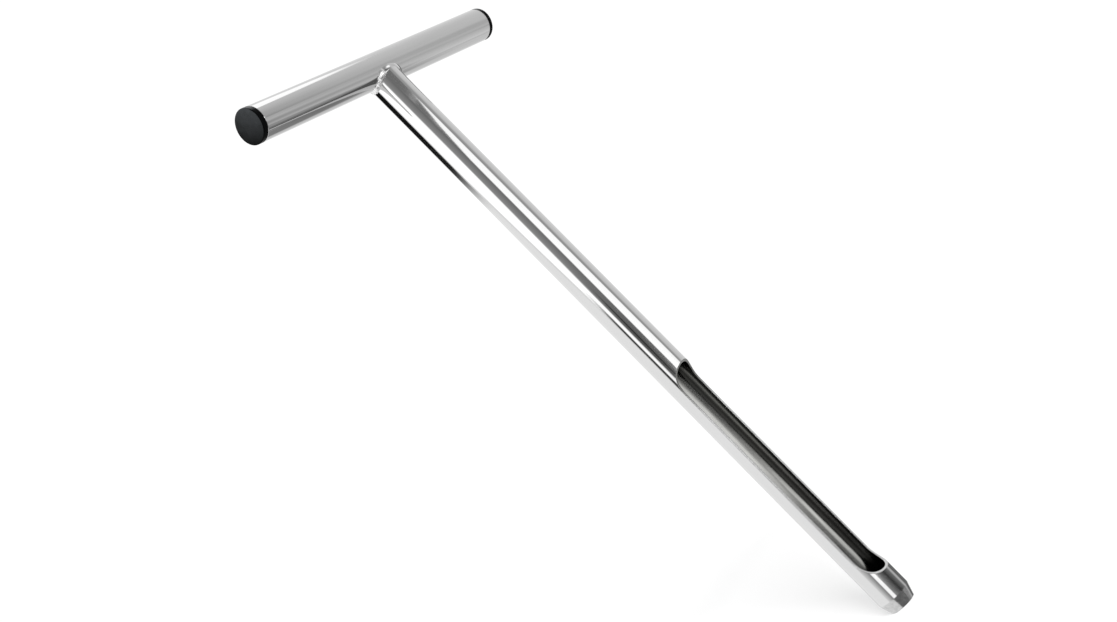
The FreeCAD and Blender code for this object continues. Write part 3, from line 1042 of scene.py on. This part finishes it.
def with_card(tree, light, card, azimuth, elevation):
    """The light of the world so far, with one more card in front of it."""
    start_soft, end_soft, low_soft, high_soft = card.soft
    middle = (sum(card.start) + sum(card.end)) / 4
    off = maths(tree, "WRAP", maths(tree, "SUBTRACT", azimuth, middle), 180.0, -180.0)
    start = upright_edge(tree, elevation, card, card.start, middle)
    end = upright_edge(tree, elevation, card, card.end, middle)
    past_start = fade(tree, maths(tree, "SUBTRACT", off, start), 0, start_soft)
    before_end = fade(tree, maths(tree, "SUBTRACT", end, off), 0, end_soft)
    above = fade(tree, elevation, card.elevation[0], low_soft)
    below = fade(tree, elevation, card.elevation[1], -high_soft)
    sides = maths(tree, "MULTIPLY", past_start, before_end)
    mask = maths(tree, "MULTIPLY", sides, maths(tree, "MULTIPLY", above, below))
    level = card.light[0]
    if card.light[0] != card.light[1]:
        level = to_range(tree, off, start, end, *card.light)
    return mixed(tree, mask, light, level)


def studio_world():
    """The cards and lamps that shiny things reflect; the floor and the camera get plain white."""
    world = bpy.data.worlds.new("studio")
    bpy.context.scene.world = world
    world.use_nodes = True
    tree = world.node_tree
    tree.nodes.clear()

    place = node(tree, "ShaderNodeTexCoord").outputs["Generated"]
    split = node(tree, "ShaderNodeSeparateXYZ", {0: place}).outputs
    turn = maths(tree, "ARCTAN2", split[0], split[1])
    azimuth = maths(tree, "MULTIPLY", turn, math.degrees(1))
    elevation = maths(tree, "MULTIPLY", maths(tree, "ARCSINE", split[2]), math.degrees(1))
    light = 1.0
    for card in CARDS:
        light = with_card(tree, light, card, azimuth, elevation)
    rays = node(tree, "ShaderNodeLightPath").outputs
    light = mixed(tree, rays["Is Diffuse Ray"], light, FLOOR_LIGHT)
    light = mixed(tree, rays["Is Camera Ray"], light, BACKDROP_LIGHT)
    shine = node(tree, "ShaderNodeBackground", {"Color": (1, 1, 1, 1), "Strength": light})
    out = node(tree, "ShaderNodeOutputWorld")
    tree.links.new(shine.outputs[0], out.inputs[0])


def floor():
    """A plain pale floor under the cutting edge, out of the steel's reflections."""
    mesh = bpy.data.meshes.new("floor")
    level = CAD_BOX[0].z - FLOOR_GAP
    turns = ((-1, -1), (1, -1), (1, 1), (-1, 1))
    corners = [(x * FLOOR_HALF, y * FLOOR_HALF, level) for x, y in turns]
    mesh.from_pydata(corners, [], [(0, 1, 2, 3)])
    material, tree = new_material("floor_white")
    mottle = stretched_noise(tree, (3, 3, 3), 2)
    finish_material(
        tree,
        Base_Color=blend_colour(tree, mottle, grey(0.9), grey(0.91)),
        Roughness=0.9,
        Specular_IOR_Level=0.0,
    )
    mesh.materials.append(material)
    piece = bpy.data.objects.new("floor", mesh)
    bpy.context.scene.collection.objects.link(piece)
    piece.visible_glossy = False


def direction(azimuth, elevation):
    """The unit vector that points to an azimuth and elevation in degrees."""
    turn = math.radians(azimuth)
    rise = math.radians(elevation)
    return Vector((math.sin(turn) * math.cos(rise), math.cos(turn) * math.cos(rise), math.sin(rise)))


def sun(name, azimuth, elevation, energy, angle, casts_shadow):
    """A far soft light for the floor and whatever else is dull; nothing reflects it."""
    lamp = bpy.data.lights.new(name, "SUN")
    lamp.energy = energy
    lamp.angle = math.radians(angle)
    lamp.use_shadow = casts_shadow
    piece = bpy.data.objects.new(name, lamp)
    bpy.context.scene.collection.objects.link(piece)
    piece.rotation_mode = "QUATERNION"
    piece.rotation_quaternion = direction(azimuth, elevation).to_track_quat("Z", "Y")
    piece.visible_glossy = False


def camera():
    """Looks along its azimuth and elevation, rolled so that the probe lies across the picture."""
    data = bpy.data.cameras.new("camera")
    data.sensor_width = CAMERA_SENSOR
    data.lens = CAMERA_LENS
    piece = bpy.data.objects.new("camera", data)
    bpy.context.scene.collection.objects.link(piece)
    roll = math.radians(CAMERA_ROLL)
    forward = direction(CAMERA_AZIMUTH, CAMERA_ELEVATION)
    level_right = forward.cross(Vector((0, 0, 1))).normalized()
    level_up = level_right.cross(forward)
    right = level_right * math.cos(roll) + level_up * math.sin(roll)
    up = level_up * math.cos(roll) - level_right * math.sin(roll)
    frame_of_view = Matrix((right, up, -forward)).transposed().to_4x4()
    frame_of_view.translation = CAMERA_PLACE
    piece.matrix_world = frame_of_view
    bpy.context.scene.camera = piece


# ---------------------------------------------------------------- assembly


def place(piece, node_name, slot):
    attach(piece, "root")
    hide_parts(node_name)


SATIN = satin_steel()
BORE_PAINTED_SHADE = bore_steel_painted_shade()
PROBE_MATERIALS = [mirror_steel(), ground_steel(), BORE_PAINTED_SHADE, cut_steel()]
# Each plug's gloss rises towards one side along way, a painted highlight.
PLUG_MATERIALS = [
    black_plastic(
        "plug_face", dark=0.002, rubbed=0.007, shine=(0.02, 0.5), roughness=0.26,
        way=(0.0, -0.6, 0.8), reach=(-1, 1),
    ),
    black_plastic(
        "plug_rim", dark=0.001, rubbed=0.003, shine=(0.03, 0.9), roughness=0.24,
        way=(0.0, 0.0, 1.0), reach=(0.3, 1),
    ),
]

place(probe_tube(PROBE_MATERIALS), "probe_tube", "probe_steel")
place(handle_tube([SATIN, BORE_PAINTED_SHADE]), "handle_tube", "handle_steel")
place(weld_bead([weld_steel(), SATIN]), "weld_bead", "weld_metal")
place(end_plug("left_end_plug_skin", -1, PLUG_MATERIALS), "left_end_plug", "plug_plastic")
place(end_plug("right_end_plug_skin", 1, PLUG_MATERIALS), "right_end_plug", "plug_plastic")

studio_world()
floor()
sun("key", azimuth=222, elevation=30, energy=1.75, angle=11, casts_shadow=True)
sun("fill", azimuth=0, elevation=88, energy=1.57, angle=10, casts_shadow=False)
camera()
bpy.context.scene.view_settings.view_transform = "Standard"
bpy.context.scene.view_settings.look = "None"
